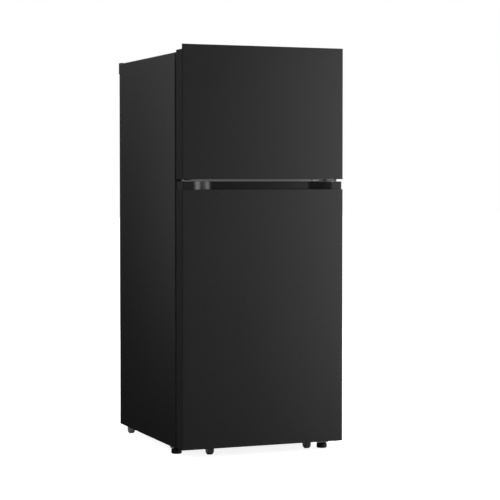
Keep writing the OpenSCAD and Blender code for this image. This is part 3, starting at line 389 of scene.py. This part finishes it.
nodeFinish = {
    "blackSteel": ["outer_wrapper"],
    "doorSteel": ["freezer_door_skin", "fridge_door_skin"],
    "glossBlack": ["fridge_door_top_cap"],
    "blackPlastic": ["rear_trim", "top_hinge_cover", "freezer_door_top_cap", "freezer_door_bottom_cap",
                     "fridge_door_bottom_cap", "power_inlet"],
    "galvanised": ["back_panel", "base_plate", "machine_cover", "drain_pan", "leg_brackets"],
    "zincPlate": ["top_hinge", "middle_hinge", "bottom_hinge", "hinge_screws"],
    "greyRail": ["mullion_rail"],
    "whiteLiner": ["freezer_liner", "fridge_liner", "freezer_door_liner", "fridge_door_liner"],
    "whitePlastic": ["drain_tube", "evaporator_fan_mount", "evaporator_fan", "freezer_back_cover",
                     "ice_maker_frame", "fridge_air_duct", "lamp_housing", "temperature_dial",
                     "shelf_frames"],
    "whiteWire": ["freezer_shelf"],
    "clearPlastic": ["ice_bin", "chill_tray", "crisper", "freezer_door_bins", "fridge_bin_lower",
                     "fridge_bin_middle", "dairy_bin"],
    "smokyPlastic": ["ice_tray", "dairy_lid"],
    "shelfGlass": ["shelf_glass"],
    "rubber": ["compressor_mounts", "freezer_door_gasket", "fridge_door_gasket"],
    "rollerPlastic": ["front_rollers"],
    "greyWheel": ["rear_rollers"],
    "fanPlastic": ["condenser_fan"],
    "footPlastic": ["foot_left", "foot_right"],
    "enamel": ["compressor", "condenser_coil", "condenser_fan_mount"],
    "aluminium": ["evaporator"],
    "copper": ["defrost_heater"],
    "foam": ["cabinet_foam", "freezer_door_foam", "fridge_door_foam"],
}
for finishName, members in nodeFinish.items():
    for member in members:
        slots = nodes[member].material_slots
        if not slots:
            nodes[member].data.materials.append(finishes[finishName])
        for materialSlot in slots:
            materialSlot.material = finishes[finishName]
bare = set(nodes) - {member for members in nodeFinish.values() for member in members}
print("finishes:", len(finishes), "nodes without one:", sorted(bare))


def tube(name, route, radius, finishName):
    # a pipe along a smoothed route, as a closed mesh
    curve = bpy.data.curves.new(name, "CURVE")
    curve.dimensions, curve.bevel_depth, curve.bevel_resolution = "3D", radius, 3
    curve.use_fill_caps = True
    line = curve.splines.new("NURBS")
    line.points.add(len(route) - 1)
    for point, spot in zip(line.points, route):
        point.co = (*spot, 1)
    line.order_u, line.use_endpoint_u, line.resolution_u = 3, True, 5
    holder = bpy.data.objects.new(name, curve)
    bpy.context.scene.collection.objects.link(holder)
    mesh = bpy.data.meshes.new_from_object(holder.evaluated_get(bpy.context.evaluated_depsgraph_get()))
    bpy.data.objects.remove(holder)
    return keep(name, mesh, finishName)


def keep(name, mesh, finishName):
    # a finished mesh at the origin, in its finish and with smooth curved faces
    mesh.name = name
    mesh.materials.clear()
    mesh.materials.append(finishes[finishName])
    mesh.shade_smooth()
    mesh.set_sharp_from_angle(angle=math.radians(35))
    piece = bpy.data.objects.new(name, mesh)
    bpy.context.scene.collection.objects.link(piece)
    return piece


def build(name, corners, faces, finishName):
    mesh = bpy.data.meshes.new(name)
    mesh.from_pydata(corners, [], faces)
    shell = bmesh.new()
    shell.from_mesh(mesh)
    bmesh.ops.remove_doubles(shell, verts=shell.verts, dist=1e-6)
    bmesh.ops.recalc_face_normals(shell, faces=shell.faces)
    shell.to_mesh(mesh)
    shell.free()
    return keep(name, mesh, finishName)


def block(name, low, high, soft, finishName):
    # a box between two corners with softened edges
    shell = bmesh.new()
    bmesh.ops.create_cube(shell, size=1)
    for vert in shell.verts:
        vert.co = [low[i] if vert.co[i] < 0 else high[i] for i in range(3)]
    bmesh.ops.bevel(shell, geom=list(shell.edges), offset=soft, segments=2, profile=0.5, affect="EDGES")
    mesh = bpy.data.meshes.new(name)
    shell.to_mesh(mesh)
    shell.free()
    return keep(name, mesh, finishName)


def merge(name, parts, finishName):
    # several pieces of one finish as one
    shell = bmesh.new()
    for part in parts:
        shell.from_mesh(part.data)
        bpy.data.objects.remove(part)
    mesh = bpy.data.meshes.new(name)
    shell.to_mesh(mesh)
    shell.free()
    return keep(name, mesh, finishName)


def ride(piece, body):
    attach(piece, body)
    return piece


class Layout(Graph):
    # a geometry node tree with named sizes, fed with points
    def __init__(self, name, sizes):
        self.tree = bpy.data.node_groups.new(name, "GeometryNodeTree")
        sockets = self.tree.interface
        sockets.new_socket("Geometry", in_out="INPUT", socket_type="NodeSocketGeometry")
        sockets.new_socket("Geometry", in_out="OUTPUT", socket_type="NodeSocketGeometry")
        self.ids = {}
        for key, value in sizes.items():
            kind = "NodeSocketInt" if isinstance(value, int) else "NodeSocketFloat"
            socket = sockets.new_socket(key, in_out="INPUT", socket_type=kind)
            socket.default_value = value
            self.ids[key] = socket.identifier
        self.source = self.tree.nodes.new("NodeGroupInput")
        self.end = self.tree.nodes.new("NodeGroupOutput")

    def get(self, key):
        return Wire(self, self.source.outputs[key])

    def vector(self, x=0.0, y=0.0, z=0.0):
        return self.add("ShaderNodeCombineXYZ", None, {0: x, 1: y, 2: z})

    def move(self, shape, place=None, turn=None, scale=None):
        sockets = {key: value for key, value in (("Translation", place), ("Rotation", turn), ("Scale", scale))
                   if value is not None}
        return self.add("GeometryNodeTransform", None, {"Geometry": shape, **sockets})

    def disc(self, radius, depth, sides=16):
        return self.add("GeometryNodeMeshCylinder", None,
                        {"Vertices": sides, "Radius": radius, "Depth": depth})

    def join(self, *shapes):
        node = self.tree.nodes.new("GeometryNodeJoinGeometry")
        for shape in shapes:
            self.tree.links.new(shape.socket, node.inputs[0])
        return Wire(self, node.outputs[0])

    def close(self, shape):
        # the shape at every fed point, made real
        spread = self.add("GeometryNodeInstanceOnPoints", None,
                          {"Points": self.get("Geometry"), "Instance": shape})
        real = self.add("GeometryNodeRealizeInstances", None, {0: spread})
        done = self.add("GeometryNodeSetMaterial", None, {0: real})
        self.tree.links.new(done.socket, self.end.inputs[0])
        self.setter = done.socket.node


def scatter(name, layout, spots, finishName, **sizes):
    # runs a layout on the spots and keeps the result as a plain mesh
    seed = bpy.data.meshes.new(name)
    seed.from_pydata([tuple(spot) for spot in spots], [], [])
    holder = bpy.data.objects.new(name, seed)
    bpy.context.scene.collection.objects.link(holder)
    modifier = holder.modifiers.new("layout", "NODES")
    modifier.node_group = layout.tree
    layout.setter.inputs["Material"].default_value = finishes[finishName]
    for key, value in sizes.items():
        modifier[layout.ids[key]] = value
    mesh = bpy.data.meshes.new_from_object(holder.evaluated_get(bpy.context.evaluated_depsgraph_get()))
    bpy.data.objects.remove(holder)
    return keep(name, mesh, finishName)


def hexScrewLayout():
    # a hexagon head with a round flange, facing up before it is tipped about X and turned about Z
    f = Layout("hexScrew", {"head": 0.0035, "height": 0.0022, "flange": 0.0052, "tip": 0.0, "turn": 0.0})
    flange = f.move(f.disc(f.get("flange"), 0.0008, 20), f.vector(z=0.0004))
    head = f.add("GeometryNodeMeshCone", None, {"Vertices": 6, "Radius Top": f.get("head") * 0.86,
                                                "Radius Bottom": f.get("head"), "Depth": f.get("height")})
    recess = f.move(f.disc(f.get("head") * 0.5, 0.0006, 12), f.vector(z=f.get("height") + 0.0003))
    f.close(f.move(f.join(flange, head, recess), turn=f.vector(f.get("tip"), z=f.get("turn"))))
    return f


def barLayout():
    # a bar with two rounded ends, lying along X before it is turned about Y and then Z
    f = Layout("bar", {"length": 0.1, "width": 0.006, "height": 0.001, "turnY": 0.0, "turnZ": 0.0})
    half = f.get("length") * 0.5 - f.get("width") * 0.5
    rod = f.move(f.disc(0.5, 1.0, 16), turn=f.vector(0, math.pi / 2))
    middle = f.move(rod, scale=f.vector(half * 2, f.get("width"), f.get("height") * 2))
    ball = f.add("GeometryNodeMeshUVSphere", None, {"Segments": 16, "Rings": 8, "Radius": 0.5})
    end = f.move(ball, scale=f.vector(f.get("width"), f.get("width"), f.get("height") * 2))
    both = f.join(middle, f.move(end, f.vector(half)), f.move(end, f.vector(-half)))
    f.close(f.move(both, turn=f.vector(0.0, f.get("turnY"), f.get("turnZ"))))
    return f


def slatLayout():
    # a row of flat slats along X
    f = Layout("slats", {"count": 10, "pitch": 0.01, "sizeX": 0.001, "sizeY": 0.001, "sizeZ": 0.001})
    step = f.vector(f.get("pitch"))
    line = f.add("GeometryNodeMeshLine", None, {"Count": f.get("count"), "Offset": step})
    size = f.vector(f.get("sizeX"), f.get("sizeY"), f.get("sizeZ"))
    slat = f.add("GeometryNodeMeshCube", None, {"Size": size})
    row = f.add("GeometryNodeInstanceOnPoints", None, {"Points": line, "Instance": slat})
    f.close(f.add("GeometryNodeRealizeInstances", None, {0: row}))
    return f


def ringLayout():
    # blocks set round a circle about Z, before it is tipped about X
    f = Layout("ring", {"count": 24, "radius": 0.02, "from": 0.0, "step": 0.26,
                        "length": 0.002, "width": 0.001, "height": 0.01, "tip": 0.0})
    line = f.add("GeometryNodeMeshLine", None, {"Count": f.get("count"), "Offset": (0, 0, 0)})
    index = f.add("GeometryNodeInputIndex")
    angle = f.get("from") + index * f.get("step")
    turn = f.vector(z=angle)
    size = f.vector(f.get("length"), f.get("width"), f.get("height"))
    tooth = f.add("GeometryNodeMeshCube", None, {"Size": size})
    out = f.move(tooth, f.vector(f.get("radius")))
    circle = f.add("GeometryNodeInstanceOnPoints", None,
                   {"Points": line, "Instance": out, "Rotation": turn})
    whole = f.add("GeometryNodeRealizeInstances", None, {0: circle})
    f.close(f.move(whole, turn=f.vector(f.get("tip"))))
    return f


hexScrew, bar, slats, ring = hexScrewLayout(), barLayout(), slatLayout(), ringLayout()
print("layouts ready")


# the cabinet's back: pressed beads, screws and the cover's screws
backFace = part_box("machine_cover")[1].y
panelLow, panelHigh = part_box("machine_cover")[1].z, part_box("rear_trim")[0].z
beads = {"columns": (-0.27, -0.135, 0.0, 0.135, 0.27), "inset": 0.07, "width": 0.016, "height": 0.0016}
beadMid, beadLength = (panelLow + panelHigh) / 2, panelHigh - panelLow - 2 * beads["inset"]
piece = scatter("back_beads", bar, [(x, backFace, beadMid) for x in beads["columns"]], "galvanised",
                length=beadLength, width=beads["width"], height=beads["height"],
                turnY=math.pi / 2, turnZ=math.pi / 2)
ride(piece, "cabinet")

backScrews = {"edge": 0.011, "rows": 7, "low": 0.03, "high": 0.035}
step = (panelHigh - panelLow - backScrews["low"] - backScrews["high"]) / (backScrews["rows"] - 1)
places = [(side * (highCorner.x - backScrews["edge"]), backFace, panelLow + backScrews["low"] + i * step)
          for side in (-1, 1) for i in range(backScrews["rows"])]
coverScrews = {"columns": 6, "side": 0.012, "top": 0.012, "rows": (0.06, 0.16, 0.25)}
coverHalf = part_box("machine_cover")[1].x - coverScrews["side"]
spread = 2 * coverHalf / (coverScrews["columns"] - 1)
places += [(-coverHalf + i * spread, backFace, panelLow - coverScrews["top"])
           for i in range(coverScrews["columns"])]
places += [(side * coverHalf, backFace, z) for side in (-1, 1) for z in coverScrews["rows"]]
piece = scatter("back_screws", hexScrew, places, "zincPlate", tip=math.pi / 2, turn=math.pi)
ride(piece, "cabinet")
print("back:", len(places), "screws")

# the hinge cover's screw and the ribs on the feet
coverLow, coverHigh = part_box("top_hinge_cover")
coverScrew = {"side": 0.026, "rear": 0.022, "height": 0.0018}
spot = (coverLow.x + coverScrew["side"], coverHigh.y - coverScrew["rear"], coverHigh.z)
piece = scatter("cover_screw", hexScrew, [spot], "zincPlate", height=coverScrew["height"])
ride(piece, "cabinet")
footRibs = {"count": 36, "height": 0.014, "length": 0.0012, "width": 0.0014}
ribLevel, ribSink = 0.01, 0.0002
for foot in ("foot_left", "foot_right"):
    low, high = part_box(foot)
    middle = ((low.x + high.x) / 2, (low.y + high.y) / 2, ribLevel)
    piece = scatter(foot + "_ribs", ring, [middle], "footPlastic", radius=(high.x - low.x) / 2 - ribSink,
                    step=math.tau / footRibs["count"], **footRibs)
    ride(piece, foot)

# a magnetic seal round each door: a foot, folds and the magnet's pocket,
# in mm inwards and towards the cabinet
seal = [(0, 0), (22, 0), (22, 1.6), (21, 2.4), (17, 2.6), (15.5, 3.6), (18.6, 5.2), (19.4, 6.4), (18.6, 7.6),
        (17, 8.4), (18.6, 9.2), (19.4, 10), (19.4, 14.8), (18.6, 15.6)]
seal += [(22 - u, v) for u, v in reversed(seal)]
for door in ("freezer_door", "fridge_door"):
    low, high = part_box(door + "_gasket")
    corners = []
    for sideX, sideZ in ((-1, -1), (1, -1), (1, 1), (-1, 1)):
        for u, v in seal:
            z = low.z + u / 1000 if sideZ < 0 else high.z - u / 1000
            corners.append((sideX * (high.x - u / 1000), low.y + v / 1000, z))
    count = len(seal)
    faces = [(side * count + i, side * count + (i + 1) % count, (side + 1) % 4 * count + (i + 1) % count,
              (side + 1) % 4 * count + i) for side in range(4) for i in range(count)]
    piece = build(door + "_seal", corners, faces, "rubber")
    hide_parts(door + "_gasket")
    ride(piece, door)
print("seals on")

# a stop on the left end of the rail between the doors
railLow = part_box("mullion_rail")[0]
gapLow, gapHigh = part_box("fridge_door_top_cap")[1].z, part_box("freezer_door_liner")[0].z
stop = {"inset": 0.01, "length": 0.04, "proud": 0.003, "soft": 0.0006}
piece = block("rail_stop", (railLow.x + stop["inset"], railLow.y - stop["proud"], (gapLow + gapHigh) / 2),
              (railLow.x + stop["length"], railLow.y, gapHigh), stop["soft"], "blackPlastic")
ride(piece, "cabinet")

# the lamp's lens in its housing
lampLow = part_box("lamp_housing")[0]
lens = {"half": 0.0505, "front": 0.0215, "depth": 0.088, "low": 0.0022, "high": 0.0082, "soft": 0.001}
lensLow = Vector((-lens["half"], lampLow.y + lens["front"], lampLow.z + lens["low"]))
lensHigh = Vector((lens["half"], lensLow.y + lens["depth"], lampLow.z + lens["high"]))
flutes = {"count": 17, "pitch": 0.0058, "width": 0.0024, "height": 0.0016, "short": 0.006}
start = -(flutes["count"] - 1) / 2 * flutes["pitch"]
parts = [block("lens", lensLow, lensHigh, lens["soft"], "frostedLens"),
         scatter("flutes", slats, [(start, (lensLow.y + lensHigh.y) / 2, lensLow.z)], "frostedLens",
                 count=flutes["count"], pitch=flutes["pitch"], sizeX=flutes["width"],
                 sizeY=lens["depth"] - flutes["short"], sizeZ=flutes["height"])]
ride(merge("lamp_lens", parts, "frostedLens"), "cabinet")

# the dial's scale on the housing's front
dialLow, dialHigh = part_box("temperature_dial")
dialX, dialZ = (dialLow.x + dialHigh.x) / 2, (dialLow.z + dialHigh.z) / 2
scale = {"radius": 0.0175, "digits": 0.0225, "size": 0.0062, "spread": 38, "thick": 0.00012,
         "ticks": 7, "tickLength": 0.0016, "tickWidth": 0.0005}
parts = []
for middle, names in ((180, "123"), (0, "456")):
    parts.append(scatter("ticks", ring, [(dialX, lampLow.y, dialZ)], "ink", count=scale["ticks"],
                         radius=scale["radius"], step=math.radians(scale["spread"] / 3),
                         length=scale["tickLength"], width=scale["tickWidth"],
                         height=2 * scale["thick"], tip=math.pi / 2,
                         **{"from": math.radians(middle - scale["spread"])}))
    for i, digit in enumerate(names):
        angle = math.radians(middle - (i - 1) * scale["spread"])
        text = bpy.data.curves.new("digit", "FONT")
        text.body, text.size, text.extrude = digit, scale["size"], scale["thick"]
        text.align_x, text.align_y = "CENTER", "CENTER"
        holder = bpy.data.objects.new("digit", text)
        bpy.context.scene.collection.objects.link(holder)
        mesh = bpy.data.meshes.new_from_object(holder.evaluated_get(bpy.context.evaluated_depsgraph_get()))
        bpy.data.objects.remove(holder)
        for vert in mesh.vertices:
            x, y, z = vert.co
            vert.co = (dialX + scale["digits"] * math.cos(angle) + x, lampLow.y - z,
                       dialZ + scale["digits"] * math.sin(angle) + y)
        parts.append(keep("digit", mesh, "ink"))
ride(merge("dial_scale", parts, "ink"), "cabinet")
print("lamp and scale on")

# the sealed circuit's pipes in the machine compartment
stubX, stubY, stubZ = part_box("compressor")[0].x, 0.3015, 0.127
stubFront, stubRear = stubY - 0.038, stubY + 0.038
coilLow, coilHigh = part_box("condenser_coil")
coilY, ceiling = (coilLow.y + coilHigh.y) / 2, panelLow - 0.001
drier = (-0.312, 0.31)
routes = {
    "delivery": (0.003, [(stubX, stubFront, stubZ), (0.03, stubFront, stubZ), (0.018, stubFront, 0.14),
                         (0.018, stubFront, 0.25), (0.005, coilY, 0.271), (-0.1, coilY, 0.271),
                         (-0.11, coilY, 0.25), (-0.118, coilY, 0.2332), (-0.1325, coilY, 0.2332)]),
    "liquid": (0.003, [(-0.3075, coilY, 0.0652), (-0.325, coilY, 0.0652), (-0.327, coilY + 0.02, 0.08),
                       (-0.326, 0.29, 0.1), (*drier, 0.11), (*drier, 0.135)]),
    "drier": (0.009, [(*drier, 0.13), (*drier, 0.16), (*drier, 0.19), (*drier, 0.225)]),
    "capillary": (0.0014, [(*drier, 0.22), (*drier, 0.25), (-0.312, 0.3, 0.27), (-0.3, 0.3, ceiling)]),
    "suction": (0.004, [(stubX, stubRear, stubZ), (0.03, stubRear, stubZ), (0.012, 0.36, 0.14),
                        (0.012, 0.372, 0.2), (0.012, 0.372, ceiling)]),
    "filling": (0.003, [(stubX, stubY, stubZ), (0.035, stubY, stubZ), (0.025, stubY, 0.135),
                        (0.02, stubY, 0.16)]),
}
parts = [tube(name, route, radius, "copper") for name, (radius, route) in routes.items()]
ride(merge("circuit_pipes", parts, "copper"), "cabinet")
print("pipes laid")


# the view and the studio
view = {"place": (-2.587, -6.698, 1.139), "turn": -21.914, "tip": 1.944, "lens": 119.32, "rise": -0.03}
camera = bpy.data.objects.new("camera", bpy.data.cameras.new("camera"))
camera.data.sensor_width = 36
camera.data.lens = view["lens"]
camera.data.shift_y = view["rise"]
camera.location = view["place"]
camera.rotation_euler = (math.radians(90 - view["tip"]), 0, math.radians(view["turn"]))
bpy.context.scene.collection.objects.link(camera)
bpy.context.scene.camera = camera
bpy.context.scene.view_settings.view_transform = "Standard"


def softbox(name, place, aim, width, height, power):
    lamp = bpy.data.lights.new(name, "AREA")
    lamp.shape, lamp.size, lamp.size_y, lamp.energy = "RECTANGLE", width, height, power
    holder = bpy.data.objects.new(name, lamp)
    holder.location = place
    holder.rotation_euler = (Vector(aim) - Vector(place)).to_track_quat("-Z", "Y").to_euler()
    holder.visible_glossy = False
    bpy.context.scene.collection.objects.link(holder)


studio = {
    "key": {"place": (3.0, -4.4, 2.4), "aim": (0, 0, 0.8), "width": 2.4, "height": 2.4, "power": 95},
    "fill": {"place": (-4.6, -1.6, 2.2), "aim": (0, 0, 0.9), "width": 2.4, "height": 2.4, "power": 26},
    "back": {"place": (1.4, 4.8, 2.4), "aim": (0, 0, 0.8), "width": 2.4, "height": 2.4, "power": 70},
    "roof": {"place": (0.3, -0.6, 4.6), "aim": (0, 0, 0), "width": 3.6, "height": 3.6, "power": 110},
}
for lampName, lamp in studio.items():
    softbox(lampName, lamp["place"], lamp["aim"], lamp["width"], lamp["height"], lamp["power"])


def reflector(name, place, azimuth, width, height, glow, fade):
    # a glowing screen that only shines in gloss, with edges that fade over the given widths
    mesh = bpy.data.meshes.new(name)
    signs = ((-1, -1), (1, -1), (1, 1), (-1, 1))
    mesh.from_pydata([(x * width / 2, 0, z * height / 2) for x, z in signs], [], [(0, 1, 2, 3)])
    screen = bpy.data.objects.new(name, mesh)
    screen.location = place
    screen.rotation_euler = (0, 0, math.radians(azimuth))
    bpy.context.scene.collection.objects.link(screen)
    for sight in ("camera", "diffuse", "transmission", "volume_scatter", "shadow"):
        setattr(screen, "visible_" + sight, False)
    f = Finish(bpy.data.materials.new(name))
    x, y, z = f.axes()
    left, right, low, high = fade
    level = f.ease(x, -width / 2, left - width / 2) * f.ease(x, width / 2, width / 2 - right)
    level = level * f.ease(z, -height / 2, low - height / 2) * f.ease(z, height / 2, height / 2 - high)
    shine = f.add("ShaderNodeEmission", None, {"Color": (1, 1, 1), "Strength": level * glow})
    clear = f.add("ShaderNodeBsdfTransparent")
    both = f.add("ShaderNodeMixShader", None, {0: level, 1: clear, 2: shine})
    f.add("ShaderNodeOutputMaterial", None, {"Surface": both})
    mesh.materials.append(f.owner)


screens = {
    "rightScreen": {"place": (3.0, -3.39, 0.43), "azimuth": 50, "width": 4.5, "height": 5.3, "glow": 3.2,
                    "fade": (2.1, 0.3, 2.7, 0.6)},
    "sideScreen": {"place": (4.12, 0.52, 0.9), "azimuth": 104, "width": 5.0, "height": 4.0, "glow": 2.0,
                   "fade": (0.5, 0.8, 1.2, 0.6)},
    "leftScreen": {"place": (-4.0, -0.6, 1.3), "azimuth": -82, "width": 1.6, "height": 2.6, "glow": 1.1,
                   "fade": (0.4, 0.4, 0.5, 0.5)},
    "backScreen": {"place": (-1.75, 1.3, 1.1), "azimuth": 180, "width": 2.0, "height": 4.0, "glow": 0.4,
                   "fade": (0.4, 0.4, 2.1, 0.6)},
    "railScreen": {"place": (1.6, -4.95, 1.125), "azimuth": 22, "width": 1.9, "height": 0.12, "glow": 0.34,
                   "fade": (0.1, 0.7, 0.02, 0.02)},
}
for screenName, screen in screens.items():
    reflector(screenName, **screen)

world = bpy.data.worlds.new("studio")
bpy.context.scene.world = world
air = Finish(world)
room = {"diffuse": 0.5, "rear": 0.05, "rise": 13, "rearMost": 0.9, "front": 0.04, "frontLeft": 0.1,
        "above": 0.15}
rays = air.add("ShaderNodeLightPath").socket.node
seen = Wire(air, rays.outputs["Is Camera Ray"])
mirrored = Wire(air, rays.outputs["Is Glossy Ray"])
passed = Wire(air, rays.outputs["Is Transmission Ray"])
aside, ahead, upward = air.axes("Generated")
rear = ((upward * room["rise"]).grow() * room["rear"]).low(room["rearMost"])
front = room["frontLeft"] + air.ease(aside, -0.25, 0.3) * (room["front"] - room["frontLeft"])
shown = front + air.ease(ahead, -0.2, 0.35) * (rear - front) + air.ease(upward, 0.25, 0.7) * room["above"]
level = (room["diffuse"] + mirrored * (shown - room["diffuse"])).high(seen).high(passed)
sky = air.add("ShaderNodeBackground", None, {"Color": (1, 1, 1), "Strength": level})
air.add("ShaderNodeOutputWorld", None, {"Surface": sky})

floorMesh = bpy.data.meshes.new("floor")
reach, floorGlow = 40, 0.87
floorCorners = [(-reach, -reach, 0), (reach, -reach, 0), (reach, reach, 0), (-reach, reach, 0)]
floorMesh.from_pydata(floorCorners, [], [(0, 1, 2, 3)])
floor = bpy.data.objects.new("floor", floorMesh)
bpy.context.scene.collection.objects.link(floor)
ground = Finish(bpy.data.materials.new("floor"))
groundRays = ground.add("ShaderNodeLightPath").socket.node
groundSeen = Wire(ground, groundRays.outputs["Is Camera Ray"])
paper = ground.noise(3, 2)
groundTone = ground.blend(paper, (0.78, 0.78, 0.78), (0.8, 0.8, 0.8))
matt = ground.add("ShaderNodeBsdfDiffuse", None, {"Color": groundTone})
glow = ground.add("ShaderNodeEmission", None, {"Color": (1, 1, 1), "Strength": groundSeen * floorGlow})
both = ground.add("ShaderNodeAddShader", None, {0: matt, 1: glow})
ground.add("ShaderNodeOutputMaterial", None, {"Surface": both})
floorMesh.materials.append(ground.owner)
floor.visible_glossy = False
print("studio set")
